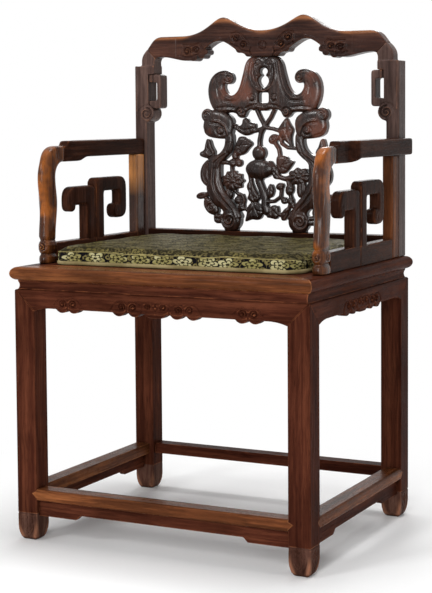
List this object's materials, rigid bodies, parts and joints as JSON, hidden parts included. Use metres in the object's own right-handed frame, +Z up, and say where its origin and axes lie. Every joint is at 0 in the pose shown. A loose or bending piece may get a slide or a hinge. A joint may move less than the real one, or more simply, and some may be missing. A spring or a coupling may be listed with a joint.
{
  "type": "openwork armchair",
  "caption": "Dark hardwood armchair with openwork carved back, hooked fret arms, box stretchers and a loose brocade seat cushion.",
  "frame": {"origin": "on the floor, midway between the four legs", "axes": "+Z up, +Y towards the back, +X to the viewer's right seen from the front"},
  "size_m": [0.604, 0.493, 0.975],
  "materials": {
    "dark_wood": "waxed dark reddish hardwood, worn lighter along the edges",
    "black_wood": "near-black polished hardwood",
    "brown_wood": "warm brown worn hardwood",
    "honey_wood": "honey brown rubbed hardwood",
    "brocade": "black and gold flowered brocade with olive piping"
  },
  "bodies": {
    "chair": {"apron_back": "dark_wood", "apron_front": "dark_wood", "apron_left": "dark_wood", "apron_right": "dark_wood", "arm_low_front_left": "black_wood", "arm_low_front_right": "black_wood", "arm_low_rear_left": "black_wood", "arm_low_rear_right": "black_wood", "arm_post_front_left": "honey_wood", "arm_post_front_right": "honey_wood", "arm_post_rear_left": "honey_wood", "arm_post_rear_right": "honey_wood", "arm_rail_left": "black_wood", "arm_rail_right": "black_wood", "back_post_left": "black_wood", "back_post_right": "black_wood", "back_rail": "black_wood", "crest_rail": "black_wood", "fret_front_left": "black_wood", "fret_front_right": "black_wood", "fret_rear_left": "black_wood", "fret_rear_right": "black_wood", "leg_front_left": "dark_wood", "leg_front_right": "dark_wood", "leg_rear_left": "dark_wood", "leg_rear_right": "dark_wood", "post_ring_left": "black_wood", "post_ring_right": "black_wood", "seat_batten_left": "dark_wood", "seat_batten_right": "dark_wood", "seat_panel": "dark_wood", "seat_rail_back": "dark_wood", "seat_rail_front": "brown_wood", "seat_rail_left": "brown_wood", "seat_rail_right": "brown_wood", "splat_crown": "black_wood", "splat_dragon_left": "black_wood", "splat_dragon_right": "black_wood", "splat_vine": "black_wood", "stretcher_back": "dark_wood", "stretcher_front": "brown_wood", "stretcher_left": "brown_wood", "stretcher_right": "brown_wood", "stretcher_strip_front": "dark_wood", "stretcher_strip_left": "dark_wood", "stretcher_strip_right": "dark_wood", "waist_back": "dark_wood", "waist_front": "dark_wood", "waist_left": "dark_wood", "waist_right": "dark_wood"},
    "cushion": {"cushion": "brocade"}
  },
  "joints": [
    {"name": "cushion_lift", "type": "slide", "parent": "chair", "child": "cushion", "axis": [0, 0, 1], "range_m": [0, 0.6]}
  ]
}
